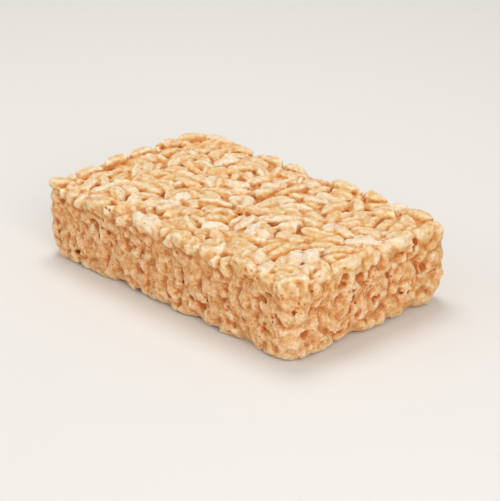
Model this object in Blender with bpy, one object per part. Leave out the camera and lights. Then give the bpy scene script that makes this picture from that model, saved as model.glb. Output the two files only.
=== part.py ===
"""A square-cut bar of puffed rice grains held together with marshmallow, lying flat on its base.

X runs along the bar, Y across it, and Z up from the surface that it lies on. Sizes are in millimetres.
"""

import math

import bmesh
import bpy
import numpy as np
from mathutils import Euler, Matrix, Vector

MM = 0.001

# Driving sizes of the bar and of one puffed grain
BAR_LENGTH = 90.0
BAR_WIDTH = 54.4
BAR_HEIGHT = 21.5
GRAIN_WIDTH = 3.5
LONGEST_GRAIN = 9.4
SHORTEST_GRAIN = 6.2
SIDE_LONGEST = 7.2
SIDE_SHORTEST = 4.6
CORNER_GRAIN = 5.8

# The core stays this far inside the outline, and the grains on it reach the outline
CORE_INSET = 1.6
CORE_DROP = 1.8
CORNER_RADIUS = 2.2
TOP_EDGE_RADIUS = 1.2
BASE_EDGE_RADIUS = 0.8
CORE_CUTS = (12, 8, 3)
CORNER_WEAR = 0.8
CORNER_WEAR_POWER = 6

# Heights and lengths of the core's waves: slow swells and lumps on the torn sides, and dips of the top
SWELL_HEIGHT = 0.4
SWELL_LENGTH = 33.0
LUMP_HEIGHT = 0.3
LUMP_LENGTH = 11.0
DIP_HEIGHT = 0.35
DIP_LENGTH = 48.0
EDGE_SHARE = 9

# Numbers of grains, and the draws from which the one furthest from its neighbours is taken
TOP_GRAINS = 104
LONG_SIDE_GRAINS = 36
END_GRAINS = 21
DRAWS = 80
CORNER_POWER = 14
LAYOUT_SEED = 11

# How the grains lie: degrees and millimetres
TOP_PITCH = 12.0
TOP_SINK = 0.9
WIDTH_SPREAD = 0.1
RIM_DROP = 0.5
RIM_POWER = 10
SIDE_LEAN = 40.0
SIDE_SINK = (-0.3, 0.5)
LEAN_SINK = 0.25
BASE_CLEARANCE = 0.1
CORNER_HEIGHTS = (2.4, 7.6, 12.6, 17.2)
CORNER_INSET = 2.5
CORNER_TURN = 18.0

# Few sides for each grain
GRAIN_SEGMENTS = 5
TOP_RINGS = 4
SIDE_RINGS = 3
GRAIN_BEND = 0.07
GRAIN_BLUNTNESS = 1.2
BLUNT_FROM = 0.6

# Grains that make the bumps of the top rim: x, y, height of the middle, heading in degrees, length
RIM_GRAINS = (
    (-41.9, -24.0, 19.4, 54.0, 7.2),
    (-42.6, -14.4, 19.5, 84.0, 8.0),
    (-42.6, -5.4, 20.1, 88.0, 8.2),
    (-42.6, 3.6, 20.3, 86.0, 8.6),
    (-42.6, 12.4, 20.3, 92.0, 8.2),
    (-41.6, 20.6, 20.4, 64.0, 8.2),
    (-35.8, 25.1, 20.2, 8.0, 9.4),
    (-27.0, 25.2, 19.8, -8.0, 7.2),
    (-15.0, 24.9, 19.9, 10.0, 7.4),
    (-7.2, 25.4, 19.7, -10.0, 7.0),
    (12.2, 25.2, 20.1, 5.0, 9.4),
    (21.4, 25.5, 19.9, -6.0, 7.4),
    (29.2, 25.3, 19.6, 8.0, 6.6),
    (36.8, 25.0, 19.8, 4.0, 8.0),
    (42.7, 19.2, 19.0, 98.0, 7.6),
    (43.2, 10.4, 19.4, 84.0, 8.2),
    (39.4, 2.4, 20.0, 40.0, 9.4),
    (43.0, -6.6, 19.3, 92.0, 8.0),
    (37.2, -12.8, 20.1, 136.0, 8.0),
    (41.6, -23.8, 19.4, 42.0, 8.2),
    (28.2, -25.3, 19.5, 3.0, 8.8),
    (7.6, -25.3, 19.4, 8.0, 8.2),
    (-6.8, -25.5, 19.5, -14.0, 9.4),
    (-24.6, -25.3, 19.3, 9.0, 8.8),
)


def clear_scene():
    for obj in list(bpy.data.objects):
        bpy.data.objects.remove(obj, do_unlink=True)


def food_material():
    """Toasted cream of the puffed grains."""
    material = bpy.data.materials.new("puffed_rice")
    material.use_nodes = True
    shader = material.node_tree.nodes["Principled BSDF"]
    shader.inputs["Base Color"].default_value = (0.76, 0.51, 0.28, 1.0)
    shader.inputs["Roughness"].default_value = 0.5
    shader.inputs["Metallic"].default_value = 0.0
    return material


def wave(distance, length):
    return math.sin(2 * math.pi * distance / length)


def side_relief(x, y, z):
    """How far the torn side stands out from its plane, in millimetres."""
    return SWELL_HEIGHT * wave(x - y, SWELL_LENGTH) + LUMP_HEIGHT * wave(x + z, LUMP_LENGTH) * wave(y - z, LUMP_LENGTH)


def base_lift(x, y):
    """Radius of the worn lower edge, which grows towards the corners."""
    corner = abs(4.0 * x * y / (BAR_LENGTH * BAR_WIDTH)) ** CORNER_WEAR_POWER
    return BASE_EDGE_RADIUS + CORNER_WEAR * corner


def top_relief(x, y):
    """Gentle swell of the pressed top."""
    return DIP_HEIGHT * wave(x, DIP_LENGTH) * wave(y + x / 2, DIP_LENGTH)


def core_point(u, v, w):
    """Moves a point of the unit cube, from -1 to 1 each way, onto the surface of the core."""
    half_x = BAR_LENGTH / 2 - CORE_INSET
    half_y = BAR_WIDTH / 2 - CORE_INSET
    x, y = u * half_x, v * half_y
    height = BAR_HEIGHT - CORE_DROP + top_relief(x, y)
    z = (w + 1) / 2 * height
    top_gap = max(0.0, TOP_EDGE_RADIUS - (height - z))
    lift = base_lift(x, y)
    base_gap = max(0.0, lift - z)
    inset = TOP_EDGE_RADIUS - math.sqrt(max(0.0, TOP_EDGE_RADIUS**2 - top_gap**2))
    inset += lift - math.sqrt(max(0.0, lift**2 - base_gap**2))
    reach = side_relief(x, y, z) * min(1.0, z / lift) - inset
    past_x = abs(x) - (half_x - CORNER_RADIUS)
    past_y = abs(y) - (half_y - CORNER_RADIUS)
    if past_x > 0 and past_y > 0:
        shrink = CORNER_RADIUS / max(CORNER_RADIUS, math.hypot(past_x, past_y))
        x = math.copysign(half_x - CORNER_RADIUS + past_x * shrink, x)
        y = math.copysign(half_y - CORNER_RADIUS + past_y * shrink, y)
    x += reach * u**EDGE_SHARE
    y += reach * v**EDGE_SHARE
    return Vector((x, y, z)) * MM


def make_core():
    """The slab that carries the grains, with rounded corners and torn sides."""
    shape = bmesh.new()
    bmesh.ops.create_cube(shape, size=2.0)
    for axis, cuts in enumerate(CORE_CUTS):
        along = [edge for edge in shape.edges if abs((edge.verts[0].co - edge.verts[1].co)[axis]) > 0.01]
        bmesh.ops.subdivide_edges(shape, edges=along, cuts=cuts, use_grid_fill=True)
    for vertex in shape.verts:
        vertex.co = core_point(*vertex.co)
    base = [face for face in shape.faces if max(vertex.co.z for vertex in face.verts) < 0.01 * MM]
    inner = {edge for face in base for edge in face.edges if all(other in base for other in edge.link_faces)}
    bmesh.ops.dissolve_edges(shape, edges=list(inner), use_verts=False)
    bmesh.ops.recalc_face_normals(shape, faces=shape.faces)
    mesh = bpy.data.meshes.new("rice_bar")
    shape.to_mesh(mesh)
    shape.free()
    bar = bpy.data.objects.new("rice_bar", mesh)
    bpy.context.scene.collection.objects.link(bar)
    return bar


def grain_points(middle, direction, length):
    """Three points along a grain, which stand for it when distances are measured."""
    reach = 0.5 * (length - GRAIN_WIDTH)
    return np.array([middle - direction * reach, middle, middle + direction * reach])


def spread(rng, count, area, taken, longest, shortest):
    """Places grains evenly inside a rectangle, the longest first: (middle, heading, length) of each.

    Of several draws, each grain takes the one that lies furthest from the grains before it.
    """
    placed = []
    points = [grain_points(np.array(middle), heading_of(heading), length) for middle, heading, length in taken]
    for index in range(count):
        length = longest + (shortest - longest) * index / count
        best_gap = -1.0
        for _ in range(DRAWS):
            heading = rng.uniform(0.0, 180.0)
            direction = heading_of(heading)
            limit = np.array(area) / 2 - 0.5 * GRAIN_WIDTH
            middle = rng.uniform(-1.0, 1.0, 2) * (limit - 0.5 * (length - GRAIN_WIDTH) * np.abs(direction))
            new = grain_points(middle, direction, length)
            if (np.abs(new / limit) ** CORNER_POWER).sum(axis=1).max() > 1.0:
                continue
            gap = 99.0
            if points:
                gap = np.linalg.norm(np.array(points).reshape(-1, 1, 2) - new[None], axis=2).min()
            if gap > best_gap:
                best_gap = gap
                best = (middle, heading, length)
        points.append(grain_points(best[0], heading_of(best[1]), best[2]))
        placed.append(best)
    return placed


def heading_of(degrees):
    angle = math.radians(degrees)
    return np.array([math.cos(angle), math.sin(angle)])


def top_grains(rng):
    """Grains lying flat on the pressed top, as (middle, turn, length, width, rings)."""
    half_x = BAR_LENGTH / 2 - 0.5 * GRAIN_WIDTH
    half_y = BAR_WIDTH / 2 - 0.5 * GRAIN_WIDTH
    taken = [((x, y), heading, length) for x, y, _, heading, length in RIM_GRAINS]
    grains = [
        (Vector((x, y, z)), Euler((0.0, 0.0, math.radians(heading))), length, GRAIN_WIDTH, TOP_RINGS)
        for x, y, z, heading, length in RIM_GRAINS
    ]
    area = (BAR_LENGTH, BAR_WIDTH)
    for (x, y), heading, length in spread(rng, TOP_GRAINS, area, taken, LONGEST_GRAIN, SHORTEST_GRAIN):
        width = GRAIN_WIDTH * rng.uniform(1.0 - WIDTH_SPREAD, 1.0 + WIDTH_SPREAD)
        sink = rng.uniform(0.0, TOP_SINK)
        edge = max(abs(x) / half_x, abs(y) / half_y) ** RIM_POWER
        z = BAR_HEIGHT - 0.5 * width - sink - RIM_DROP * edge
        pitch = math.radians(rng.uniform(-TOP_PITCH, TOP_PITCH))
        turn = Euler((0.0, pitch, math.radians(heading)))
        grains.append((Vector((x, y, z)), turn, length, width, TOP_RINGS))
    return grains


def side_grains(rng, turn, breadth, distance, count):
    """Grains that stand half out of one torn side, turned to face that way."""
    face = Matrix.Rotation(math.radians(turn), 3, "Z")
    height = BAR_HEIGHT - GRAIN_WIDTH - BASE_CLEARANCE
    grains = []
    for (u, v), heading, length in spread(rng, count, (breadth, height), [], SIDE_LONGEST, SIDE_SHORTEST):
        lean = math.radians(rng.uniform(-SIDE_LEAN, SIDE_LEAN))
        sink = rng.uniform(*SIDE_SINK) + LEAN_SINK * length * abs(math.sin(lean))
        z = BASE_CLEARANCE + height / 2 + v
        middle = face @ Vector((u, -(distance - 0.5 * GRAIN_WIDTH - sink), z))
        flat = Matrix.Rotation(lean, 3, "Z") @ Matrix.Rotation(-math.radians(heading), 3, "Y")
        grains.append((middle, (face @ flat).to_euler(), length, GRAIN_WIDTH, SIDE_RINGS))
    return grains


def corner_grains():
    """Grains one above the other down each upright edge, each turned from the one below it."""
    grains = []
    for x_side, y_side in ((-1, -1), (1, -1), (1, 1), (-1, 1)):
        x = x_side * (BAR_LENGTH / 2 - CORNER_INSET)
        y = y_side * (BAR_WIDTH / 2 - CORNER_INSET)
        across = 135.0 if x_side == y_side else 45.0
        for row, z in enumerate(CORNER_HEIGHTS):
            heading = across + (CORNER_TURN if row % 2 else -CORNER_TURN)
            turn = Euler((0.0, 0.0, math.radians(heading)))
            grains.append((Vector((x, y, z)), turn, CORNER_GRAIN, GRAIN_WIDTH, SIDE_RINGS))
    return grains


def all_grains():
    rng = np.random.default_rng(LAYOUT_SEED)
    grains = top_grains(rng) + corner_grains()
    for turn in (0.0, 180.0):
        grains += side_grains(rng, turn, BAR_LENGTH, BAR_WIDTH / 2, LONG_SIDE_GRAINS)
    for turn in (90.0, 270.0):
        grains += side_grains(rng, turn, BAR_WIDTH, BAR_LENGTH / 2, END_GRAINS)
    return grains


def make_grain(index, grain, collection):
    """One puffed grain: a blunt, slightly bent ellipsoid with few sides."""
    middle, turn, length, width, rings = grain
    shape = bmesh.new()
    bmesh.ops.create_uvsphere(shape, u_segments=GRAIN_SEGMENTS, v_segments=rings, radius=0.5)
    bend = (1.0 if index % 2 else -1.0) * GRAIN_BEND * length
    for vertex in shape.verts:
        along = 2.0 * vertex.co.z
        girth = width * GRAIN_BLUNTNESS if abs(along) > BLUNT_FROM else width
        across = vertex.co.x * girth + bend * (along**2 - 0.5)
        vertex.co = Vector((along * length / 2, across, vertex.co.y * girth)) * MM
    bmesh.ops.recalc_face_normals(shape, faces=shape.faces)
    mesh = bpy.data.meshes.new("grain")
    shape.to_mesh(mesh)
    shape.free()
    piece = bpy.data.objects.new(f"grain_{index}", mesh)
    piece.location = middle * MM
    piece.rotation_euler = turn
    piece.hide_render = True
    piece.display_type = "WIRE"
    collection.objects.link(piece)


def fuse(bar, grains):
    """Joins the grains to the core with one union, and takes the helpers away."""
    helpers = bpy.data.collections.new("grains")
    bpy.context.scene.collection.children.link(helpers)
    for index, grain in enumerate(grains):
        make_grain(index, grain, helpers)
    union = bar.modifiers.new("union", "BOOLEAN")
    union.operation = "UNION"
    union.operand_type = "COLLECTION"
    union.collection = helpers
    union.solver = "EXACT"
    bpy.context.view_layer.objects.active = bar
    bpy.ops.object.modifier_apply(modifier=union.name)
    for piece in list(helpers.objects):
        bpy.data.objects.remove(piece, do_unlink=True)
    bpy.data.collections.remove(helpers)


def keep_outer_shell(bar):
    """Drops what the union leaves apart: the walls of sealed hollows, and scraps."""
    shape = bmesh.new()
    shape.from_mesh(bar.data)
    shells = []
    seen = set()
    for start in shape.faces:
        if start in seen:
            continue
        shell = [start]
        seen.add(start)
        for face in shell:
            for edge in face.edges:
                for other in edge.link_faces:
                    if other not in seen:
                        seen.add(other)
                        shell.append(other)
        shells.append(shell)
    largest = max(shells, key=len)
    spare = [face for shell in shells if shell is not largest for face in shell]
    bmesh.ops.delete(shape, geom=spare, context="FACES")
    shape.to_mesh(bar.data)
    shape.free()


def stand_on_origin(bar):
    """Moves the bar so that the middle of its base is the origin."""
    corners = np.array([vertex.co for vertex in bar.data.vertices])
    middle = (corners.min(axis=0) + corners.max(axis=0)) / 2
    bar.data.transform(Matrix.Translation((-middle[0], -middle[1], 0.0)))


def main():
    clear_scene()
    bar = make_core()
    fuse(bar, all_grains())
    keep_outer_shell(bar)
    stand_on_origin(bar)
    bar.data.materials.clear()
    bar.data.materials.append(food_material())


main()
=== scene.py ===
"""The looks of a bar of puffed rice grains held together with marshmallow.

Every grain is laid out by the rule that the frame's solid follows, at its true size, and more grains
fill the places between. All of them are written into one grid of distances, fused there, cut and
pitted where the bar's sides are torn, and meshed as one surface that is then shared out to pieces.
"""

import math

import bpy
import numpy as np
import openvdb
from mathutils import Matrix, Vector


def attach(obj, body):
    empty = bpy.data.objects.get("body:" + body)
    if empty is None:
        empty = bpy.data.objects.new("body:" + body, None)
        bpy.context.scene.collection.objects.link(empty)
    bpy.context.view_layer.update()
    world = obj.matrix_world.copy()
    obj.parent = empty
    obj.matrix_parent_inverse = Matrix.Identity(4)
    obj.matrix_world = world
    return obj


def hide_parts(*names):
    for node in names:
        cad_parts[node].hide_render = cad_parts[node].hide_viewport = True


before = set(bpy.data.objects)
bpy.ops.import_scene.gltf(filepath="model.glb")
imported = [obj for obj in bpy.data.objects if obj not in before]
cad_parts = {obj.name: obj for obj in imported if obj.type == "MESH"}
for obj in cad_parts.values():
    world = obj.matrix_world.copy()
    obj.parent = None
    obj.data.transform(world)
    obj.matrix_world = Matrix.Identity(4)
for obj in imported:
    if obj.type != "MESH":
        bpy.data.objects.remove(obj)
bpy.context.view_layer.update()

MM = 0.001

# Sizes that the frame's solid has too, in millimetres and degrees
BAR_LENGTH = 90.0
BAR_WIDTH = 54.4
BAR_HEIGHT = 21.5
GRAIN_WIDTH = 3.5
LONGEST_GRAIN = 9.4
SHORTEST_GRAIN = 6.2
SIDE_LONGEST = 7.2
SIDE_SHORTEST = 4.6
CORNER_GRAIN = 5.8
TOP_GRAINS = 104
LONG_SIDE_GRAINS = 36
END_GRAINS = 21
DRAWS = 80
CORNER_POWER = 14
LAYOUT_SEED = 11
TOP_PITCH = 12.0
TOP_SINK = 0.9
WIDTH_SPREAD = 0.1
RIM_DROP = 0.5
RIM_POWER = 10
SIDE_LEAN = 40.0
SIDE_SINK = (-0.3, 0.5)
LEAN_SINK = 0.25
BASE_CLEARANCE = 0.1
CORNER_HEIGHTS = (2.4, 7.6, 12.6, 17.2)
CORNER_INSET = 2.5
CORNER_TURN = 18.0

# Grains that make the bumps of the top rim: x, y, height of the middle, heading in degrees, length
RIM_GRAINS = (
    (-41.9, -24.0, 19.4, 54.0, 7.2),
    (-42.6, -14.4, 19.5, 84.0, 8.0),
    (-42.6, -5.4, 20.1, 88.0, 8.2),
    (-42.6, 3.6, 20.3, 86.0, 8.6),
    (-42.6, 12.4, 20.3, 92.0, 8.2),
    (-41.6, 20.6, 20.4, 64.0, 8.2),
    (-35.8, 25.1, 20.2, 8.0, 9.4),
    (-27.0, 25.2, 19.8, -8.0, 7.2),
    (-15.0, 24.9, 19.9, 10.0, 7.4),
    (-7.2, 25.4, 19.7, -10.0, 7.0),
    (12.2, 25.2, 20.1, 5.0, 9.4),
    (21.4, 25.5, 19.9, -6.0, 7.4),
    (29.2, 25.3, 19.6, 8.0, 6.6),
    (36.8, 25.0, 19.8, 4.0, 8.0),
    (42.7, 19.2, 19.0, 98.0, 7.6),
    (43.2, 10.4, 19.4, 84.0, 8.2),
    (39.4, 2.4, 20.0, 40.0, 9.4),
    (43.0, -6.6, 19.3, 92.0, 8.0),
    (37.2, -12.8, 20.1, 136.0, 8.0),
    (41.6, -23.8, 19.4, 42.0, 8.2),
    (28.2, -25.3, 19.5, 3.0, 8.8),
    (7.6, -25.3, 19.4, 8.0, 8.2),
    (-6.8, -25.5, 19.5, -14.0, 9.4),
    (-24.6, -25.3, 19.3, 9.0, 8.8),
)

# How far the frame's solid was moved to stand over the origin
LAYOUT_SHIFT = (0.0, 0.15)

# The grid of distances
VOXEL = 0.245
GRID_MARGIN = 1.6
FAR = 3.0

# The bar's sides: how far each is turned from the front, its breadth, and its distance from the middle
SIDES = (
    (0.0, BAR_LENGTH, BAR_WIDTH / 2),
    (180.0, BAR_LENGTH, BAR_WIDTH / 2),
    (90.0, BAR_WIDTH, BAR_LENGTH / 2),
    (270.0, BAR_WIDTH, BAR_LENGTH / 2),
)

# How rounded the joints between grains are, and how far grains swell to their full form
CUT_BLEND = 0.5
SKIN_BLEND = 0.48
SHELL_BLEND = 0.85
CORNER_BLEND = 1.0
CORNER_SWELL = 1.3
WHOLE_SWELL = 1.15

# The core of marshmallow: how far inside the bar it stays, and its sag and swell
SIDE_INSET = 1.1
TOP_INSET = 2.1
BASE_INSET = 0.8
CORE_SAG = 0.3
CORE_WAVE = (0.5, 5.0)
CORE_SWELL = (0.6, 3.2)

# Which grains lie on the near rim, and by how many degrees they are turned to and fro at most
NEAR_RIM = -20.0
RIM_WAVE = 12.0

# Grains down the upright edges: how far the lowest is set in, and how the others are varied
FOOT_INSET = 1.9
CORNER_SHIFT = (-0.2, 0.5)
CORNER_RISE = 0.7
CORNER_WIDTHS = (0.85, 1.08)

# The form of a grain, in shares of its length or radius, and how whole a pressed one is at least
BEND = (0.02, 0.09)
TAPER = 0.16
RIPPLES = (0.045, 0.035)
CREASE_DEPTH = 0.1
CREASE_WIDTH = 0.14
FLATNESS = (0.84, 1.0)
BLUNTNESS = (2.0, 2.5)
PRESSED_AT = (0.82, 1.1)
PRESS_TILT = 0.2
BROKEN_SHARE = 0.05
PRESSED_FROM = 0.6

# Grains that fill the top
FILL_SEED = 5
FILL_GRAINS = 72
FILL_LONGEST = 8.8
FILL_SHORTEST = 5.4
FILL_WIDTHS = (0.9, 1.2)
FILL_SINK = (0.3, 1.4)
FILL_PITCH = 14.0

# The layer of grains under them
UNDER_GRAINS = 130
UNDER_INSET = 3.0
UNDER_PITCH = 20.0
UNDER_DEPTH = (2.8, 3.8)
UNDER_LENGTHS = (6.0, 8.5)

# Broken bits in the gaps of the top
BITS = 45
BIT_INSET = 2.0
BIT_PITCH = 30.0
BIT_DEPTH = (1.2, 2.2)
BIT_LENGTHS = (2.2, 4.0)
BIT_WIDTHS = (1.6, 2.4)

# Grains crowded along the rim, and their heights on the sides that show and on the far ones
KNOB_STEP = 4.4
KNOB_MARGIN = 6.0
KNOB_WIDTHS = (3.5, 4.5)
KNOB_LENGTHS = (4.6, 6.0)
KNOB_SINK = (-0.1, 0.8)
KNOB_RISE = (-1.8, 0.5)
KNOB_PITCH = 25.0
KNOB_WHOLE = (0.15, 0.95)
FRONT_KNOBS = 18.7
BACK_KNOBS = 18.0

# Stops behind the notches of the far rim
STOPS_FROM = 24.0
STOP_DROP = 1.3
STOP_INSET = 1.2
STOP_LENGTH = 5.0

# Grains packed behind the torn sides
SHELL_STEP_ALONG = 3.4
SHELL_STEP_UP = 2.7
SHELL_LENGTHS = (4.0, 6.4)
SHELL_WIDTHS = (0.85, 1.25)
SHELL_PITCH = 50.0
SHELL_SINK = (-0.2, 0.6)
TORN_SHARE = 0.35
TORN_DEPTH = (0.2, 0.9)
UNTORN = -0.6
PALE_FROM = 14.5
PALE_RISE = 3.0
CRUSTY_SIDE = 90.0
CRUSTY_FROM = 9.0

# Grains pressed flat on the underside
BASE_STEP = (5.4, 3.1)
BASE_LENGTHS = (6.0, 8.8)
BASE_CUT = (0.0, 0.3)
BASE_MIDDLES = (1.1, 1.6)
BASE_HEADING = 40.0
BASE_PITCH = 6.0

# Worn edges
EDGE_RADIUS = 5.4
WEAR_HEIGHT = 2.6
WEAR = 0.22
EDGE_WAVE = (0.45, 4.0)

# Relief of the crumb and of the whole grains' skin: height and size of each
COARSE_LUMPS = (0.4, 3.3)
FINE_LUMPS = (0.14, 1.1)
GRIT = (0.1, 0.5)
SKIN_GRIT = (0.15, 0.75)
SKIN_SWELL = (0.24, 2.4)
LUMP_LEVEL = 0.42
LUMP_SLOPE = 1.5

# Opened bubbles and deeper caves of the sides
PITS = 2200
PIT_RADII = (0.14, 0.32)
PIT_DEPTHS = (-0.3, 1.3)
PIT_CLUSTER = 3.5
CAVES = 34
CAVE_RADII = (0.6, 1.2)
CAVE_DEPTHS = (0.4, 1.2)
RAGGED_SIZE = 0.9
RAGGEDNESS = 0.9

# Radii of the blurs that tell fine and broad hollows, and that soften the edges of torn parts
FINE_REACH = 0.45
BROAD_REACH = 1.1
WHOLE_REACH = 1.2

# Where the palest grains lie on the top, and how near to a spot a grain's middle has to be
PALE_SPOTS = (
    (-32.1, -23.7), (-13.0, -11.2), (8.2, -13.1), (33.9, -15.4), (37.6, -12.3), (14.2, -10.4),
    (39.6, 1.7), (-15.9, -25.9), (-6.8, -25.6), (-2.9, 17.9), (28.7, 23.8), (21.9, -26.6),
)
PALE_REACH = 2.8

# The tone of the palest grain elsewhere, where 1 is the palest there is
PALEST_TONE = 0.85

# Hollows that show, by side: place along it, height and radius, and how far in from the side they start
SHOWN_CAVES = {
    "front": (
        (-33.9, 4.4, 1.3), (-38.1, 16.4, 0.8), (-24.1, 12.0, 1.0), (-9.1, 7.8, 1.0),
        (3.1, 4.0, 1.0), (11.2, 6.4, 0.9), (21.8, 9.2, 1.0), (36.0, 13.0, 0.8),
    ),
    "end": (
        (-24.6, 12.4, 0.75), (-22.5, 6.8, 1.2), (-6.3, 10.5, 1.1), (1.6, 8.0, 1.2), (5.9, 12.3, 1.0),
        (12.1, 6.4, 0.8), (19.4, 10.6, 1.2), (14.6, 17.2, 1.1), (-8.3, 17.0, 0.8), (-3.9, 15.6, 0.8),
    ),
}
SHOWN_INSET = 0.8

# Where the lower edge is chipped, and how far, high and deep each chip goes
BASE_CHIPS = (
    (11.9, -26.4), (28.7, -26.4), (-16.0, -26.4), (44.0, -5.2),
    (44.0, 14.8), (-43.0, -24.0), (43.0, 25.0), (44.4, -26.8),
)
CHIP_REACH = 4.4
CHIP_HEIGHT = 4.4
CHIP_DEPTH = 4.0


def heading_of(degrees):
    angle = math.radians(degrees)
    return np.array([math.cos(angle), math.sin(angle)])


def grain_points(middle, direction, length):
    """Three points along a grain, which stand for it when distances are measured."""
    reach = 0.5 * (length - GRAIN_WIDTH)
    return np.array([middle - direction * reach, middle, middle + direction * reach])


def spread(rng, count, area, taken, longest, shortest):
    """Places grains evenly inside a rectangle, the longest first: (middle, heading, length) of each.

    Of several draws, each grain takes the one that lies furthest from the grains before it.
    """
    placed = []
    points = []
    for middle, heading, length in taken:
        points.append(grain_points(np.array(middle), heading_of(heading), length))
    for index in range(count):
        length = longest + (shortest - longest) * index / count
        best_gap = -1.0
        for _ in range(DRAWS):
            heading = rng.uniform(0.0, 180.0)
            direction = heading_of(heading)
            limit = np.array(area) / 2 - 0.5 * GRAIN_WIDTH
            middle = rng.uniform(-1.0, 1.0, 2) * (limit - 0.5 * (length - GRAIN_WIDTH) * np.abs(direction))
            new = grain_points(middle, direction, length)
            if (np.abs(new / limit) ** CORNER_POWER).sum(axis=1).max() > 1.0:
                continue
            gap = 99.0
            if points:
                gap = np.linalg.norm(np.array(points).reshape(-1, 1, 2) - new[None], axis=2).min()
            if gap > best_gap:
                best_gap = gap
                best = (middle, heading, length)
        points.append(grain_points(best[0], heading_of(best[1]), best[2]))
        placed.append(best)
    return placed


class Grain:
    """One puffed grain: where its middle is, how it is turned, its size, and how it is cut."""

    def __init__(self, middle, turn, length, width, blend, cut=None, whole=0.0):
        self.middle = np.array(middle, np.float32)
        self.turn = np.array(turn, np.float32)
        self.length = length
        self.width = width
        self.blend = blend
        self.cut = cut
        self.whole = whole


def turned(heading, pitch=0.0, roll=0.0):
    """Rotation of a grain whose length lies along X: its heading, then its nose up, then its roll."""
    return np.array(
        Matrix.Rotation(math.radians(heading), 3, "Z")
        @ Matrix.Rotation(-math.radians(pitch), 3, "Y")
        @ Matrix.Rotation(math.radians(roll), 3, "X")
    )


def random_turn(rng, pitch):
    """Any heading and any roll, with the nose up or down by at most the given angle."""
    return turned(rng.uniform(0.0, 180.0), rng.uniform(-pitch, pitch), rng.uniform(0.0, 360.0))


def top_layer(rng):
    """The grains that the frame's solid has on its top, and where they lie."""
    half_x = BAR_LENGTH / 2 - 0.5 * GRAIN_WIDTH
    half_y = BAR_WIDTH / 2 - 0.5 * GRAIN_WIDTH
    taken = [((x, y), heading, length) for x, y, _, heading, length in RIM_GRAINS]
    grains = []
    for x, y, z, heading, length in RIM_GRAINS:
        wave = RIM_WAVE * (y < NEAR_RIM)
        turn = turned(heading + wave * math.sin(1.7 * x), wave * math.sin(2.3 * x + 1.0))
        grains.append(Grain((x, y, z), turn, length, GRAIN_WIDTH * WHOLE_SWELL, SKIN_BLEND, whole=1.0))
    area = (BAR_LENGTH, BAR_WIDTH)
    placed = spread(rng, TOP_GRAINS, area, taken, LONGEST_GRAIN, SHORTEST_GRAIN)
    for (x, y), heading, length in placed:
        width = GRAIN_WIDTH * rng.uniform(1.0 - WIDTH_SPREAD, 1.0 + WIDTH_SPREAD)
        sink = rng.uniform(0.0, TOP_SINK)
        edge = max(abs(x) / half_x, abs(y) / half_y) ** RIM_POWER
        z = BAR_HEIGHT - 0.5 * width - sink - RIM_DROP * edge
        turn = turned(heading, -rng.uniform(-TOP_PITCH, TOP_PITCH))
        grains.append(Grain((x, y, z), turn, length, width * WHOLE_SWELL, SKIN_BLEND, whole=1.0))
    return grains, taken + placed


def side_layer(rng, turn, breadth, distance, count):
    """The grains that the frame's solid has on one side, each torn a little."""
    face = Matrix.Rotation(math.radians(turn), 3, "Z")
    height = BAR_HEIGHT - GRAIN_WIDTH - BASE_CLEARANCE
    grains = []
    for (u, v), heading, length in spread(rng, count, (breadth, height), [], SIDE_LONGEST, SIDE_SHORTEST):
        lean = math.radians(rng.uniform(-SIDE_LEAN, SIDE_LEAN))
        sink = rng.uniform(*SIDE_SINK) + LEAN_SINK * length * abs(math.sin(lean))
        z = BASE_CLEARANCE + height / 2 + v
        middle = np.array(face @ Vector((u, -(distance - 0.5 * GRAIN_WIDTH - sink), z)))
        flat = Matrix.Rotation(lean, 3, "Z") @ Matrix.Rotation(-math.radians(heading), 3, "Y")
        tear = np.array(face) @ np.array([0.3 * math.sin(3.1 * u), -1.0, 0.3 * math.cos(2.3 * v)])
        tear /= np.linalg.norm(tear)
        offset = float(tear @ middle) + 0.5 * GRAIN_WIDTH * (0.85 + 0.2 * math.sin(1.7 * u + v))
        grains.append(Grain(middle, face @ flat, length, GRAIN_WIDTH, SHELL_BLEND, (tear, offset)))
    return grains


def corner_layer(rng):
    """The grains that the frame's solid has down each upright edge."""
    grains = []
    for x_side, y_side in ((-1, -1), (1, -1), (1, 1), (-1, 1)):
        across = 135.0 if x_side == y_side else 45.0
        for row, z in enumerate(CORNER_HEIGHTS):
            inset = CORNER_INSET + (FOOT_INSET if row == 0 else rng.uniform(*CORNER_SHIFT))
            x = x_side * (BAR_LENGTH / 2 - inset)
            y = y_side * (BAR_WIDTH / 2 - inset)
            z += rng.uniform(-CORNER_RISE, CORNER_RISE)
            heading = across + (CORNER_TURN if row % 2 else -CORNER_TURN)
            pale = 0.4 * (row == 3) if x_side > y_side else 0.6
            width = GRAIN_WIDTH * CORNER_SWELL * rng.uniform(*CORNER_WIDTHS)
            grains.append(Grain((x, y, z), turned(heading), CORNER_GRAIN, width, CORNER_BLEND, whole=pale))
    return grains


def frame_grains():
    """Every grain of the frame's solid, in the order in which it draws them."""
    rng = np.random.default_rng(LAYOUT_SEED)
    top, placed = top_layer(rng)
    sides = []
    for turn, breadth, distance in SIDES:
        count = LONG_SIDE_GRAINS if breadth == BAR_LENGTH else END_GRAINS
        sides += side_layer(rng, turn, breadth, distance, count)
    return top, sides, placed


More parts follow.
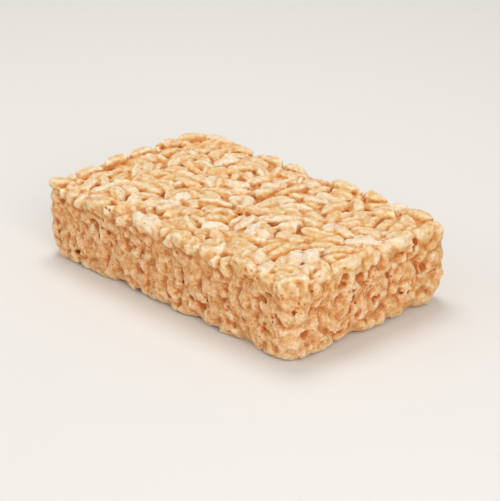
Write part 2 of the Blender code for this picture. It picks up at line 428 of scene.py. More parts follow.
def filling_grains(rng, placed):
    """Grains pressed in between those of the top, a layer under them that shows in the gaps, and bits."""
    grains = []
    area = (BAR_LENGTH - 2.0, BAR_WIDTH - 2.0)
    for (x, y), heading, length in spread(rng, FILL_GRAINS, area, placed, FILL_LONGEST, FILL_SHORTEST):
        width = GRAIN_WIDTH * rng.uniform(*FILL_WIDTHS)
        z = BAR_HEIGHT - 0.5 * width - rng.uniform(*FILL_SINK)
        turn = turned(heading, rng.uniform(-FILL_PITCH, FILL_PITCH), rng.uniform(0.0, 360.0))
        grains.append(Grain((x, y, z), turn, length, width, SKIN_BLEND, whole=0.9))
    for _ in range(UNDER_GRAINS):
        x, y = rng.uniform(-1.0, 1.0, 2) * (BAR_LENGTH / 2 - UNDER_INSET, BAR_WIDTH / 2 - UNDER_INSET)
        turn = random_turn(rng, UNDER_PITCH)
        z = BAR_HEIGHT - rng.uniform(*UNDER_DEPTH)
        length = rng.uniform(*UNDER_LENGTHS)
        grains.append(Grain((x, y, z), turn, length, GRAIN_WIDTH, SKIN_BLEND, whole=0.7))
    for _ in range(BITS):
        x, y = rng.uniform(-1.0, 1.0, 2) * (BAR_LENGTH / 2 - BIT_INSET, BAR_WIDTH / 2 - BIT_INSET)
        turn = random_turn(rng, BIT_PITCH)
        z = BAR_HEIGHT - rng.uniform(*BIT_DEPTH)
        length = rng.uniform(*BIT_LENGTHS)
        grains.append(Grain((x, y, z), turn, length, rng.uniform(*BIT_WIDTHS), SKIN_BLEND, whole=0.55))
    return grains


def rim_knobs(rng):
    """Short grains crowded along the rim, lower on the far sides, where they keep out of the outline."""
    grains = []
    for turn, breadth, distance in SIDES:
        face = turned(turn)
        height = FRONT_KNOBS if turn < 180.0 else BACK_KNOBS
        count = int(breadth / KNOB_STEP)
        for index in range(count):
            u = ((index + 0.5) / count - 0.5) * (breadth - KNOB_MARGIN) + rng.uniform(-0.8, 0.8)
            width = rng.uniform(*KNOB_WIDTHS)
            outward = distance - 0.5 * width - rng.uniform(*KNOB_SINK)
            middle = face @ np.array([u, -outward, height + rng.uniform(*KNOB_RISE)])
            turn_own = face @ random_turn(rng, KNOB_PITCH)
            length = rng.uniform(*KNOB_LENGTHS)
            whole = rng.uniform(*KNOB_WHOLE)
            grains.append(Grain(middle, turn_own, length, width, SKIN_BLEND, whole=whole))
    return grains


def rim_stops():
    """Short grains low behind the notches between neighbours of the far rim, so that none is a slit."""
    far = [row for row in RIM_GRAINS if row[1] > STOPS_FROM]
    grains = []
    for (x, y, z, *_), (next_x, next_y, next_z, *_) in zip(far, far[1:]):
        middle = (0.5 * (x + next_x), 0.5 * (y + next_y) - STOP_INSET, 0.5 * (z + next_z) - STOP_DROP)
        turn = turned(90.0 * math.sin(x))
        grains.append(Grain(middle, turn, STOP_LENGTH, GRAIN_WIDTH, SKIN_BLEND, whole=0.9))
    return grains


def shell_grains(rng):
    """Grains packed behind each torn side, some whole with their ends out and some torn through."""
    grains = []
    rows = int((BAR_HEIGHT - 2.0) / SHELL_STEP_UP)
    for turn, breadth, distance in SIDES:
        face = turned(turn)
        columns = int(breadth / SHELL_STEP_ALONG)
        for row in range(rows):
            for column in range(columns):
                u = ((column + 0.5) / columns - 0.5) * (breadth - 2.6) + rng.uniform(-1.2, 1.2)
                z = 1.7 + (row + 0.5) / rows * (BAR_HEIGHT - 3.6) + rng.uniform(-0.7, 0.7)
                turn_own = face @ random_turn(rng, SHELL_PITCH)
                length = rng.uniform(*SHELL_LENGTHS)
                width = GRAIN_WIDTH * rng.uniform(*SHELL_WIDTHS)
                axis = turn_own[:, 0] @ (face @ np.array([0.0, -1.0, 0.0]))
                reach = math.hypot(0.5 * length * axis, 0.5 * width * math.sqrt(max(0.0, 1.0 - axis**2)))
                inward = reach + rng.uniform(*SHELL_SINK)
                middle = face @ np.array([u, -(distance - inward), z])
                lean = face @ np.array([rng.uniform(-0.4, 0.4), -1.0, rng.uniform(-0.3, 0.5)])
                lean /= np.linalg.norm(lean)
                crusty = turn == CRUSTY_SIDE and u > CRUSTY_FROM
                torn = rng.uniform(0.0, 1.0) < (0.0 if crusty else TORN_SHARE)
                offset = float(lean @ middle) + inward - (rng.uniform(*TORN_DEPTH) if torn else UNTORN)
                pale = min(1.0, max(0.0, (z - PALE_FROM) / PALE_RISE)) * rng.uniform(0.4, 0.9)
                pale = 0.0 if torn else max(pale, rng.uniform(-0.8, 0.7) + 0.5 * crusty)
                near_top = min(1.0, max(0.0, (z - 12.0) / 5.0))
                blend = SHELL_BLEND + (SKIN_BLEND - SHELL_BLEND) * near_top
                grains.append(Grain(middle, turn_own, length, width, blend, (lean, offset), pale))
    return grains


def base_grains(rng):
    """Grains of the underside, pressed flat on the surface that the bar lies on."""
    grains = []
    columns = int(BAR_LENGTH / BASE_STEP[0])
    rows = int(BAR_WIDTH / BASE_STEP[1])
    downward = np.array([0.0, 0.0, -1.0])
    for column in range(columns):
        for row in range(rows):
            x = ((column + 0.5) / columns - 0.5) * (BAR_LENGTH - 5.0) + rng.uniform(-1.6, 1.6)
            y = ((row + 0.5) / rows - 0.5) * (BAR_WIDTH - 4.6) + rng.uniform(-0.8, 0.8)
            heading = rng.uniform(-BASE_HEADING, BASE_HEADING) + 90.0 * rng.integers(0, 2)
            turn = turned(heading, rng.uniform(-BASE_PITCH, BASE_PITCH))
            cut = (downward, -rng.uniform(*BASE_CUT))
            z = rng.uniform(*BASE_MIDDLES)
            length = rng.uniform(*BASE_LENGTHS)
            grains.append(Grain((x, y, z), turn, length, GRAIN_WIDTH, CUT_BLEND, cut, 0.5))
    return grains


def blended(first, second, radius):
    """Union of two distances with a fillet, as marshmallow makes where grains touch."""
    share = np.clip(0.5 + 0.5 * (second - first) / radius, 0.0, 1.0)
    return second + (first - second) * share - radius * share * (1.0 - share)


def trimmed(first, second, radius):
    """What two distances have in common, with a rounded edge."""
    return -blended(-first, -second, radius)


class Field:
    """Distances to the surface on a grid, below zero inside, and which grain is nearest."""

    def __init__(self):
        half = np.array([BAR_LENGTH / 2 + GRID_MARGIN, BAR_WIDTH / 2 + GRID_MARGIN])
        self.low = np.array([-half[0], -half[1], -GRID_MARGIN])
        high = np.array([half[0], half[1], BAR_HEIGHT + GRID_MARGIN + 1.0])
        self.count = np.ceil((high - self.low) / VOXEL).astype(int)
        self.axes = [(self.low[a] + VOXEL * np.arange(self.count[a])).astype(np.float32) for a in range(3)]
        self.distance = np.full(self.count, FAR, np.float32)
        self.owner = np.zeros(self.count, np.int16)
        self.whole = np.zeros(self.count, np.float32)
        self.dents = []
        self.ragged = None

    def window(self, middle, reach):
        """The part of the grid within reach of a point, and the coordinates there from that point."""
        first = np.floor((np.array(middle) - reach - self.low) / VOXEL).astype(int)
        last = np.ceil((np.array(middle) + reach - self.low) / VOXEL).astype(int) + 1
        first = np.clip(first, 0, self.count)
        last = np.clip(last, 0, self.count)
        part = tuple(slice(a, b) for a, b in zip(first, last))
        x = self.axes[0][part[0]][:, None, None] - np.float32(middle[0])
        y = self.axes[1][part[1]][None, :, None] - np.float32(middle[1])
        z = self.axes[2][part[2]][None, None, :] - np.float32(middle[2])
        return part, x, y, z


def core_distance(field, rng):
    """The marshmallow between the grains, which shows in the gaps of the top and of the sides."""
    x, y, z = np.meshgrid(*field.axes, indexing="ij", sparse=True)
    swell = CORE_SWELL[0] * smooth_noise(field, CORE_SWELL[1], rng)
    half = (BAR_LENGTH / 2 - SIDE_INSET, BAR_WIDTH / 2 - SIDE_INSET)
    sag = CORE_SAG + CORE_WAVE[0] * smooth_noise(field, CORE_WAVE[1], rng)
    upright = np.maximum(z - BAR_HEIGHT + TOP_INSET + sag, BASE_INSET - z)
    beyond = [np.abs(x) - half[0], np.abs(y) - half[1], upright]
    outside = np.sqrt(sum(np.maximum(part, 0.0) ** 2 for part in beyond))
    inside = np.minimum(np.maximum(np.maximum(beyond[0], beyond[1]), beyond[2]), 0.0)
    return (outside + inside + swell).astype(np.float32)


def add_grain(field, grain, index, rng):
    """Writes one grain into the field: a blunt, bent, creased ellipsoid, cut by its own plane."""
    half_length = grain.length / 2
    radius = grain.width / 2
    axis = np.abs(grain.turn[:, 0])
    reach = axis * half_length + radius * np.sqrt(np.maximum(0.0, 1.0 - axis**2)) + 1.0
    part, x, y, z = field.window(grain.middle, reach)
    along = x * grain.turn[0, 0] + y * grain.turn[1, 0] + z * grain.turn[2, 0]
    across = x * grain.turn[0, 1] + y * grain.turn[1, 1] + z * grain.turn[2, 1]
    upward = x * grain.turn[0, 2] + y * grain.turn[1, 2] + z * grain.turn[2, 2]
    share = along / half_length
    bend = rng.choice((-1.0, 1.0)) * rng.uniform(*BEND) * grain.length
    across = across - bend * (share**2 - 0.4)
    taper = 1.0 + rng.uniform(-TAPER, TAPER) * share
    angle = np.arctan2(upward, across)
    phase = rng.uniform(0.0, 2 * math.pi, 3)
    ripple = 1.0 + RIPPLES[0] * np.cos(3 * angle + phase[0] + 0.8 * share)
    ripple = ripple + RIPPLES[1] * np.cos(5 * angle + phase[1])
    crease = CREASE_DEPTH * np.exp(-((np.cos(0.5 * (angle - phase[2])) / CREASE_WIDTH) ** 2))
    crease = crease * (1.0 - np.minimum(share**2, 1.0))
    flatness = rng.uniform(*FLATNESS)
    round_part = np.sqrt(across**2 + (upward / flatness) ** 2) / (radius * taper * (ripple - crease))
    power = rng.uniform(*BLUNTNESS)
    blunt = (np.abs(share) ** power + round_part**power) ** (1 / power)
    distance = ((blunt - 1.0) * radius * 0.9).astype(np.float32)
    tilt = rng.uniform(-PRESS_TILT, PRESS_TILT, 2)
    press = rng.uniform(*PRESSED_AT) * radius
    broken = rng.uniform(0.0, 1.0)
    if grain.whole > PRESSED_FROM:
        distance = trimmed(distance, upward + tilt[0] * across + tilt[1] * along * 0.4 - press, 0.5)
        if broken < BROKEN_SHARE:
            end = np.sign(tilt[0]) * along + tilt[1] * 2.5 * across + tilt[0] * upward
            distance = trimmed(distance, end - half_length * (0.5 + broken), 0.35)
    if grain.cut is not None:
        normal, offset = grain.cut
        plane = x * normal[0] + y * normal[1] + z * normal[2] + (float(normal @ grain.middle) - offset)
        distance = trimmed(distance, plane, CUT_BLEND)
    distance = distance.astype(np.float32)
    old = field.distance[part]
    share = np.clip(0.5 + (old - distance) / 0.6, 0.0, 1.0)
    field.owner[part][distance < old] = index
    field.whole[part] += (grain.whole - field.whole[part]) * share
    field.distance[part] = blended(distance, old, grain.blend)


def smooth_noise(field, cell, rng):
    """Noise from -1 to 1 over the whole grid, with features of about the given size."""
    counts = [int(n * VOXEL / cell) + 3 for n in field.count]
    values = rng.uniform(-1.0, 1.0, counts).astype(np.float32)
    for axis in range(3):
        place = np.arange(field.count[axis]) * VOXEL / cell
        whole = place.astype(int)
        rest = (place - whole).astype(np.float32)
        rest = rest * rest * (3.0 - 2.0 * rest)
        shape = [1, 1, 1]
        shape[axis] = -1
        rest = rest.reshape(shape)
        values = np.take(values, whole, axis) * (1.0 - rest) + np.take(values, whole + 1, axis) * rest
    return values


def round_sides(field, rng):
    """Wears the upright edges round and the lower edge away, with an uneven outline and chips."""
    x, y, z = np.meshgrid(*field.axes, indexing="ij", sparse=True)
    past_x = np.abs(x) - (BAR_LENGTH / 2 - EDGE_RADIUS)
    past_y = np.abs(y) - (BAR_WIDTH / 2 - EDGE_RADIUS)
    beyond = np.sqrt(np.maximum(past_x, 0.0) ** 2 + np.maximum(past_y, 0.0) ** 2)
    box = beyond + np.minimum(np.maximum(past_x, past_y), 0.0) - EDGE_RADIUS
    wear = np.maximum(0.0, WEAR_HEIGHT - z) ** 2 * WEAR
    for chip_x, chip_y in BASE_CHIPS:
        gap = np.sqrt((x - chip_x) ** 2 + (y - chip_y) ** 2)
        low = np.maximum(0.0, 1.0 - z / CHIP_HEIGHT)
        wear = wear + CHIP_DEPTH * np.maximum(0.0, 1.0 - gap / CHIP_REACH) * low
    uneven = EDGE_WAVE[0] * smooth_noise(field, EDGE_WAVE[1], rng)
    field.distance = trimmed(field.distance, box + wear + uneven - 0.1, 0.6)


def add_crumb(field, rng):
    """Breaks the torn sides up into small lumps, and roughens the whole grains a little."""
    lumps = COARSE_LUMPS[0] * (LUMP_LEVEL - np.abs(smooth_noise(field, COARSE_LUMPS[1], rng)) * LUMP_SLOPE)
    lumps += FINE_LUMPS[0] * (LUMP_LEVEL - np.abs(smooth_noise(field, FINE_LUMPS[1], rng)) * LUMP_SLOPE)
    lumps += GRIT[0] * smooth_noise(field, GRIT[1], rng)
    skin = SKIN_GRIT[0] * smooth_noise(field, SKIN_GRIT[1], rng)
    skin = skin + SKIN_SWELL[0] * smooth_noise(field, SKIN_SWELL[1], rng)
    field.distance += (lumps * (1.0 - field.whole) + skin).astype(np.float32)


def cut_hole(field, middle, radius, stretch):
    """Takes a rounded hollow out of the field."""
    part, x, y, z = field.window(middle, radius * stretch.max() + 0.6)
    hole = np.sqrt((x / stretch[0]) ** 2 + (y / stretch[1]) ** 2 + (z / stretch[2]) ** 2) - radius
    field.distance[part] = trimmed(field.distance[part], -hole, 0.2)


def dent(field, middle, radius, stretch, depth):
    """Presses a soft hollow with a ragged outline into the surface, deepest at its middle."""
    part, x, y, z = field.window(middle, 2.4 * radius * stretch.max())
    square = (x / stretch[0]) ** 2 + (y / stretch[1]) ** 2 + (z / stretch[2]) ** 2
    square = square / radius**2 * (1.0 + RAGGEDNESS * field.ragged[part])
    field.distance[part] += (depth * np.exp(-square)).astype(np.float32)
    field.dents.append((middle, radius))


def add_shown_caves(field, rng):
    """The hollows that show on the long side and the end, each of two bubbles run together."""
    for side, caves in SHOWN_CAVES.items():
        for along, height, radius in np.repeat(caves, 2, axis=0):
            shift = rng.uniform(-0.9, 0.9, 3) * radius
            if side == "front":
                middle = (along + shift[0], -BAR_WIDTH / 2 + SHOWN_INSET + abs(shift[1]), height + shift[2])
            else:
                middle = (BAR_LENGTH / 2 - SHOWN_INSET - abs(shift[0]), along + shift[1], height + shift[2])
            dent(field, middle, radius * rng.uniform(0.5, 1.0), rng.uniform(0.6, 1.5, 3), 0.9 * radius)


def add_pits(field, rng):
    """Small bubbles of the grains' insides, opened where the sides are torn, and a few deeper caves."""
    perimeter = 2 * (BAR_LENGTH + BAR_WIDTH)
    clusters = smooth_noise(field, PIT_CLUSTER, rng)
    for index in range(PITS + CAVES):
        cave = index >= PITS
        radius = rng.uniform(*(CAVE_RADII if cave else PIT_RADII))
        place = rng.uniform(0.0, perimeter)
        depth = rng.uniform(*(CAVE_DEPTHS if cave else PIT_DEPTHS))
        z = rng.uniform(1.5, BAR_HEIGHT - 3.4) if cave else rng.uniform(0.2, BAR_HEIGHT - 1.6)
        if place < 2 * BAR_LENGTH:
            x = place % BAR_LENGTH - BAR_LENGTH / 2
            y = (BAR_WIDTH / 2 - depth) * (1.0 if place < BAR_LENGTH else -1.0)
        else:
            place -= 2 * BAR_LENGTH
            y = place % BAR_WIDTH - BAR_WIDTH / 2
            x = (BAR_LENGTH / 2 - depth) * (1.0 if place < BAR_WIDTH else -1.0)
        stretch = rng.uniform(0.7, 1.6, 3)
        node = np.clip(((np.array([x, y, z]) - field.low) / VOXEL).astype(int), 0, field.count - 1)
        if not cave and clusters[tuple(node)] < rng.uniform(-0.5, 0.3):
            continue
        if cave:
            dent(field, (x, y, z), radius, stretch, 0.8 * radius)
        else:
            cut_hole(field, (x, y, z), radius, stretch)


def blurred(values, radius, passes=3):
    """A smooth average over about the given radius, by repeated running means."""
    width = max(1, int(round(radius / VOXEL)))
    for _ in range(passes):
        for axis in range(3):
            padding = [(0, 0)] * 3
            padding[axis] = (width + 1, width)
            total = np.cumsum(np.pad(values, padding, mode="edge"), axis=axis, dtype=np.float32)
            count = values.shape[axis]
            upper = np.take(total, np.arange(2 * width + 1, 2 * width + 1 + count), axis)
            lower = np.take(total, np.arange(count), axis)
            values = (upper - lower) / (2 * width + 1)
    return values


def sampled(field, values, points):
    """Values of the grid at any points, between its nodes."""
    place = (points - field.low) / VOXEL
    whole = np.clip(np.floor(place).astype(int), 0, field.count - 2)
    rest = (place - whole).astype(np.float32)
    result = np.zeros(len(points), np.float32)
    for corner in range(8):
        step = np.array([corner & 1, corner >> 1 & 1, corner >> 2 & 1])
        weight = np.prod(np.where(step == 1, rest, 1.0 - rest), axis=1)
        index = whole + step
        result += weight * values[index[:, 0], index[:, 1], index[:, 2]]
    return result


def build_field():
    """The whole bar as a field of distances, and a tone for each grain."""
    field = Field()
    rng = np.random.default_rng(FILL_SEED)
    top, sides, placed = frame_grains()
    field.distance = core_distance(field, rng)
    inner = shell_grains(rng) + base_grains(rng) + sides
    outer = corner_layer(rng) + rim_knobs(rng) + filling_grains(rng, placed) + top
    for index, grain in enumerate(inner):
        add_grain(field, grain, index + 1, rng)
    round_sides(field, rng)
    for index, grain in enumerate(outer):
        add_grain(field, grain, len(inner) + index + 1, rng)
    stops_rng = np.random.default_rng(FILL_SEED + 1)
    for grain in rim_stops():
        add_grain(field, grain, 0, stops_rng)
    tones = rng.uniform(0.0, PALEST_TONE, len(inner) + len(outer) + 1).astype(np.float32)
    for index, grain in enumerate(outer):
        gaps = [math.hypot(grain.middle[0] - x, grain.middle[1] - y) for x, y in PALE_SPOTS]
        if min(gaps) < PALE_REACH and grain.middle[2] > BAR_HEIGHT - 3.0:
            tones[len(inner) + index + 1] = 1.0
    add_crumb(field, rng)
    field.ragged = smooth_noise(field, RAGGED_SIZE, rng)
    add_shown_caves(field, rng)
    add_pits(field, rng)
    floor = -field.axes[2][None, None, :]
    field.distance = trimmed(field.distance, floor, 0.2)
    return field, tones


def surface_of(field):
    """Points in millimetres, and quads, of the surface."""
    grid = openvdb.FloatGrid(FAR)
    grid.copyFromArray(np.ascontiguousarray(field.distance, dtype=np.float32))
    points, quads = grid.convertToQuads(0.0)
    points = points.astype(np.float64) * VOXEL + field.low
    return points, quads


def island_of(quads):
    """A number for each quad, the same for all that are joined, and the number of the largest island."""
    used, index = np.unique(quads, return_inverse=True)
    corners = index.reshape(-1, 4)
    label = np.arange(len(used))
    ends = np.concatenate([corners[:, [0, 1]], corners[:, [1, 2]], corners[:, [2, 3]]])
    while True:
        low = np.minimum(label[ends[:, 0]], label[ends[:, 1]])
        before = label.copy()
        np.minimum.at(label, ends[:, 0], low)
        np.minimum.at(label, ends[:, 1], low)
        label = label[label]
        if (label == before).all():
            break
    result = label[corners[:, 0]]
    names, counts = np.unique(result, return_counts=True)
    return result, names[counts.argmax()]


def main_shell(points, quads):
    """Leaves out anything that isn't joined to the largest surface, such as sealed bubbles."""
    island, largest = island_of(quads)
    used, index = np.unique(quads[island == largest], return_inverse=True)
    return points[used], index.reshape(-1, 4)


def vertex_values(field, tones, points):
    """The normals, and what the material reads: hollows, tone, skin or torn, facing up, and nearness to
    caves for painted shade.
    """
    inside = np.clip(0.5 - field.distance / VOXEL, 0.0, 1.0).astype(np.float32)
    fine = sampled(field, blurred(inside, FINE_REACH), points)
    broad = sampled(field, blurred(inside, BROAD_REACH), points)
    gradient = np.gradient(field.distance)
    normals = np.stack([sampled(field, part, points) for part in gradient], axis=1)
    normals /= np.maximum(np.linalg.norm(normals, axis=1, keepdims=True), 1e-6)
    nearest = np.clip(np.round((points - field.low) / VOXEL).astype(int), 0, field.count - 1)
    place = tuple(nearest.T)
    # How near each point is to a cave, which the material darkens as painted shade
    cave_shade = np.zeros(len(points), np.float32)
    for middle, radius in field.dents:
        square = ((points - middle) ** 2).sum(axis=1)
        cave_shade = np.maximum(cave_shade, np.exp(-square / (1.2 * radius) ** 2))
    return {
        "fine": fine,
        "broad": broad,
        "tone": tones[field.owner[place]],
        "whole": sampled(field, blurred(field.whole, WHOLE_REACH), points),
        "up": normals[:, 2].astype(np.float32),
        "cave_shade": cave_shade.astype(np.float32),
    }, normals


# The pieces, how thick the crust and the base are, and how high and how far in the base's grooves lie
PIECES = (
    "side_front", "side_back", "end_right", "end_left",
    "crust_left", "crust_right", "base_left", "base_right",
)
CRUST_DEPTH = 3.4
BASE_DEPTH = 0.35
GROOVE_HEIGHT = 3.0
GROOVE_DEPTH = 3.0


def piece_of(points):
    """Which piece each point belongs to, by the side of the bar that it lies on."""
    x, y, z = points.T
    depth_x = BAR_LENGTH / 2 - np.abs(x)
    depth_y = BAR_WIDTH / 2 - np.abs(y)
    sides = np.where(depth_y < depth_x, np.where(y < 0, 0, 1), np.where(x > 0, 2, 3))
    result = np.where(z > BAR_HEIGHT - CRUST_DEPTH, np.where(x < 0, 4, 5), sides)
    groove = (z < GROOVE_HEIGHT) & (np.minimum(depth_x, depth_y) > GROOVE_DEPTH)
    return np.where((z < BASE_DEPTH) | groove, np.where(x < 0, 6, 7), result)


def whole_pieces(points, quads, share):
    """Gives each island of a piece to the piece that it touches most, so that each is one surface."""
    for _ in range(3):
        island = np.zeros(len(quads), int)
        loose = np.zeros(len(quads), bool)
        for number in range(len(PIECES)):
            mine = share == number
            island[mine], largest = island_of(quads[mine])
            loose[mine] = island[mine] != largest
        owner = np.full(len(points), -1)
        owner[quads[~loose]] = share[~loose][:, None]
        names, index = np.unique(island[loose] * len(PIECES) + share[loose], return_inverse=True)
        votes = np.zeros((len(names), len(PIECES)), int)
        for corner in quads[loose].T:
            near = owner[corner]
            np.add.at(votes, (index[near >= 0], near[near >= 0]), 1)
        touching = (votes.sum(axis=1) > 0)[index]
        share[loose] = np.where(touching, votes.argmax(axis=1)[index], share[loose])
    return share


def make_piece(name, points, quads, normals, values, material):
    """One piece as a mesh with its own normals and attributes, riding on the bar's body."""
    used, index = np.unique(quads, return_inverse=True)
    quads = index.reshape(-1, 4)
    mesh = bpy.data.meshes.new(name)
    mesh.vertices.add(len(used))
    mesh.vertices.foreach_set("co", ((points[used] + (*LAYOUT_SHIFT, 0.0)) * MM).astype(np.float32).ravel())
    mesh.loops.add(len(quads) * 4)
    mesh.loops.foreach_set("vertex_index", quads.astype(np.int32).ravel())
    mesh.polygons.add(len(quads))
    mesh.polygons.foreach_set("loop_start", np.arange(0, len(quads) * 4, 4, dtype=np.int32))
    mesh.update(calc_edges=True)
    mesh.validate()
    mesh.polygons.foreach_set("use_smooth", np.ones(len(quads), bool))
    mesh.normals_split_custom_set_from_vertices(normals[used])
    for key, data in values.items():
        mesh.attributes.new(key, "FLOAT", "POINT").data.foreach_set("value", data[used])
    mesh.materials.append(material)
    piece = bpy.data.objects.new(name, mesh)
    bpy.context.scene.collection.objects.link(piece)
    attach(piece, "root")
    return piece


class Shading:
    """The nodes of one material, added by short calls that give back an output."""

    def __init__(self, material):
        material.use_nodes = True
        self.nodes = material.node_tree.nodes
        self.links = material.node_tree.links

    def put(self, value, socket):
        """Gives a socket a number, a colour or another node's output."""
        if isinstance(value, (int, float)):
            socket.default_value = value
        elif isinstance(value, tuple):
            socket.default_value = (*value, 1.0)
        else:
            self.links.new(value, socket)

    def attribute(self, name):
        node = self.nodes.new("ShaderNodeAttribute")
        node.attribute_name = name
        return node.outputs["Fac"]

    def ramp(self, source, stops):
        node = self.nodes.new("ShaderNodeValToRGB")
        elements = node.color_ramp.elements
        while len(elements) < len(stops):
            elements.new(0.5)
        for element, (place, colour) in zip(elements, stops):
            element.position = place
            element.color = (*colour, 1.0)
        self.links.new(source, node.inputs["Fac"])
        return node.outputs["Color"]

    def pattern(self, kind, size):
        """A texture whose features are about the given number of millimetres wide."""
        place = self.nodes.new("ShaderNodeTexCoord")
        node = self.nodes.new(kind)
        node.inputs["Scale"].default_value = 1.0 / (size * MM)
        self.links.new(place.outputs["Object"], node.inputs["Vector"])
        return node

    def noise(self, size, detail=2.0, roughness=0.5):
        node = self.pattern("ShaderNodeTexNoise", size)
        node.inputs["Detail"].default_value = detail
        node.inputs["Roughness"].default_value = roughness
        return node.outputs["Fac"]

    def dots(self, size):
        """How far each point is from the nearest of many scattered points, in shares of their spacing."""
        return self.pattern("ShaderNodeTexVoronoi", size).outputs["Distance"]

    def ranged(self, source, low, high, to_low=0.0, to_high=1.0):
        """A value moved from one range to another, and held inside it."""
        node = self.nodes.new("ShaderNodeMapRange")
        self.links.new(source, node.inputs["Value"])
        for key, value in (("From Min", low), ("From Max", high), ("To Min", to_low), ("To Max", to_high)):
            node.inputs[key].default_value = value
        return node.outputs["Result"]

    def calculated(self, kind, first, second):
        node = self.nodes.new("ShaderNodeMath")
        node.operation = kind
        self.put(first, node.inputs[0])
        self.put(second, node.inputs[1])
        return node.outputs["Value"]

    def times(self, first, second):
        return self.calculated("MULTIPLY", first, second)

    def plus(self, first, second):
        return self.calculated("ADD", first, second)

    def mixed(self, kind, share, first, second):
        """Two colours mixed or multiplied, by the given share of the second."""
        node = self.nodes.new("ShaderNodeMix")
        node.data_type = "RGBA"
        node.blend_type = kind
        self.put(share, node.inputs["Factor"])
        self.put(first, node.inputs[6])
        self.put(second, node.inputs[7])
        return node.outputs[2]


# Colours from the crests of the surface to the bottom of its hollows: the grains' own cream, turning darker
# and more orange deeper in the hollows as painted shade
WHOLE_COLOURS_WITH_HOLLOW_SHADE = (
    (0.34, (0.95, 0.88, 0.77)),
    (0.40, (0.90, 0.775, 0.57)),
    (0.47, (0.83, 0.625, 0.365)),
    (0.55, (0.79, 0.48, 0.18)),
    (0.65, (0.72, 0.34, 0.08)),
    (0.80, (0.55, 0.20, 0.04)),
)
CRUMB_COLOURS_WITH_HOLLOW_SHADE = (
    (0.36, (0.93, 0.75, 0.52)),
    (0.43, (0.89, 0.64, 0.395)),
    (0.50, (0.80, 0.475, 0.225)),
    (0.57, (0.69, 0.32, 0.11)),
    (0.68, (0.55, 0.21, 0.05)),
)
PALEST_GRAIN = (0.95, 0.89, 0.79)
# Paler crests of the crumb's small granules: a painted highlight on their bumps
GRANULE_CREST_HIGHLIGHT = (0.94, 0.76, 0.54)

# Colours that others are multiplied by: some are painted shade, as marked, and the rest are the grains' own
# colour
# Painted shade on surfaces that face sideways, and in the creases between the crumb's granules
FLANK_SHADE = (0.93, 0.72, 0.42)
OUTWARD_SHADE = (0.96, 0.84, 0.66)
BETWEEN_GRANULES_SHADE = (0.86, 0.68, 0.48)
GOLDEN_GRAIN = (0.96, 0.82, 0.58)
TOASTED_PATCH = (0.96, 0.84, 0.64)
MOTTLE = (0.93, 0.80, 0.62)
# Painted shade in deep hollows and in caves
DEEP_HOLLOW_SHADE = (0.94, 0.68, 0.38)
CAVE_SHADE = (0.95, 0.62, 0.30)
HONEY_SPOT = (0.97, 0.72, 0.42)
FINE_PORE = (0.55, 0.30, 0.14)
POROUS_PATCH = (0.97, 0.82, 0.62)
PORE = (0.45, 0.22, 0.09)

# Sizes of the patterns in the material, and the height of its bumps, in millimetres
EDGE_NOISE_SIZE = 1.6
GRANULE_SIZE = 0.5
PATCH_SIZE = 5.0
MOTTLE_SIZE = 0.7
HONEY_SIZE = 2.6
FINE_PORE_SIZE = 0.6
FINE_PORE_PATCH_SIZE = 2.4
PORE_SIZE = 0.85
PORE_PATCH_SIZE = 3.2
WRINKLE_SIZE = 0.45
SWELLING_SIZE = 1.3
BUMP_HEIGHT = 0.16

BUMP_STRENGTH = 0.8
CRUMB_ROUGHNESS = 0.65
SKIN_ROUGHNESS = 0.48
SUBSURFACE = {"Weight": 0.25, "Radius": (1.0, 0.45, 0.2), "Scale": 0.0015}


def skin_colour(tree, fine, tone):
    """Whole grains: cream on their crests, and golden on their flanks and in the gaps between them, where
    the colour is painted shade.
    """
    # Painted shade: darker and more orange deeper in the hollows
    skin = tree.ramp(fine, WHOLE_COLOURS_WITH_HOLLOW_SHADE)
    bright = tree.times(tree.ranged(tone, 0.5, 1.0), 0.7)
    skin = tree.mixed("MIX", bright, skin, PALEST_GRAIN)
    # Painted shade: golden where the surface faces sideways inside a hollow
    flank_shade = tree.ranged(tree.attribute("up"), 0.9, 0.25, 0.0, 0.85)
    flank_shade = tree.times(flank_shade, tree.ranged(tree.attribute("broad"), 0.36, 0.50))
    skin = tree.mixed("MULTIPLY", flank_shade, skin, FLANK_SHADE)
    # Painted shade: darker wherever the surface faces sideways rather than up
    outward = tree.ranged(tree.attribute("up"), 0.8, 0.1)
    return tree.mixed("MULTIPLY", outward, skin, OUTWARD_SHADE)


def crumb_colour(tree, fine, granules):
    """Torn grains: painted shade deeper in the hollows and in darker lines between small granules, and a
    painted highlight on the granules' crests.
    """
    # Painted shade: darker and more orange deeper in the hollows
    hollow = tree.times(tree.plus(fine, tree.attribute("broad")), 0.5)
    crumb = tree.ramp(hollow, CRUMB_COLOURS_WITH_HOLLOW_SHADE)
    # Painted shade in the creases between granules
    between = tree.ranged(granules, 0.38, 0.62, 0.0, 0.6)
    crumb = tree.mixed("MULTIPLY", between, crumb, BETWEEN_GRANULES_SHADE)
    # Painted highlight on the granules' crests
    crests = tree.ranged(granules, 0.30, 0.08, 0.0, 0.4)
    return tree.mixed("MIX", crests, crumb, GRANULE_CREST_HIGHLIGHT)


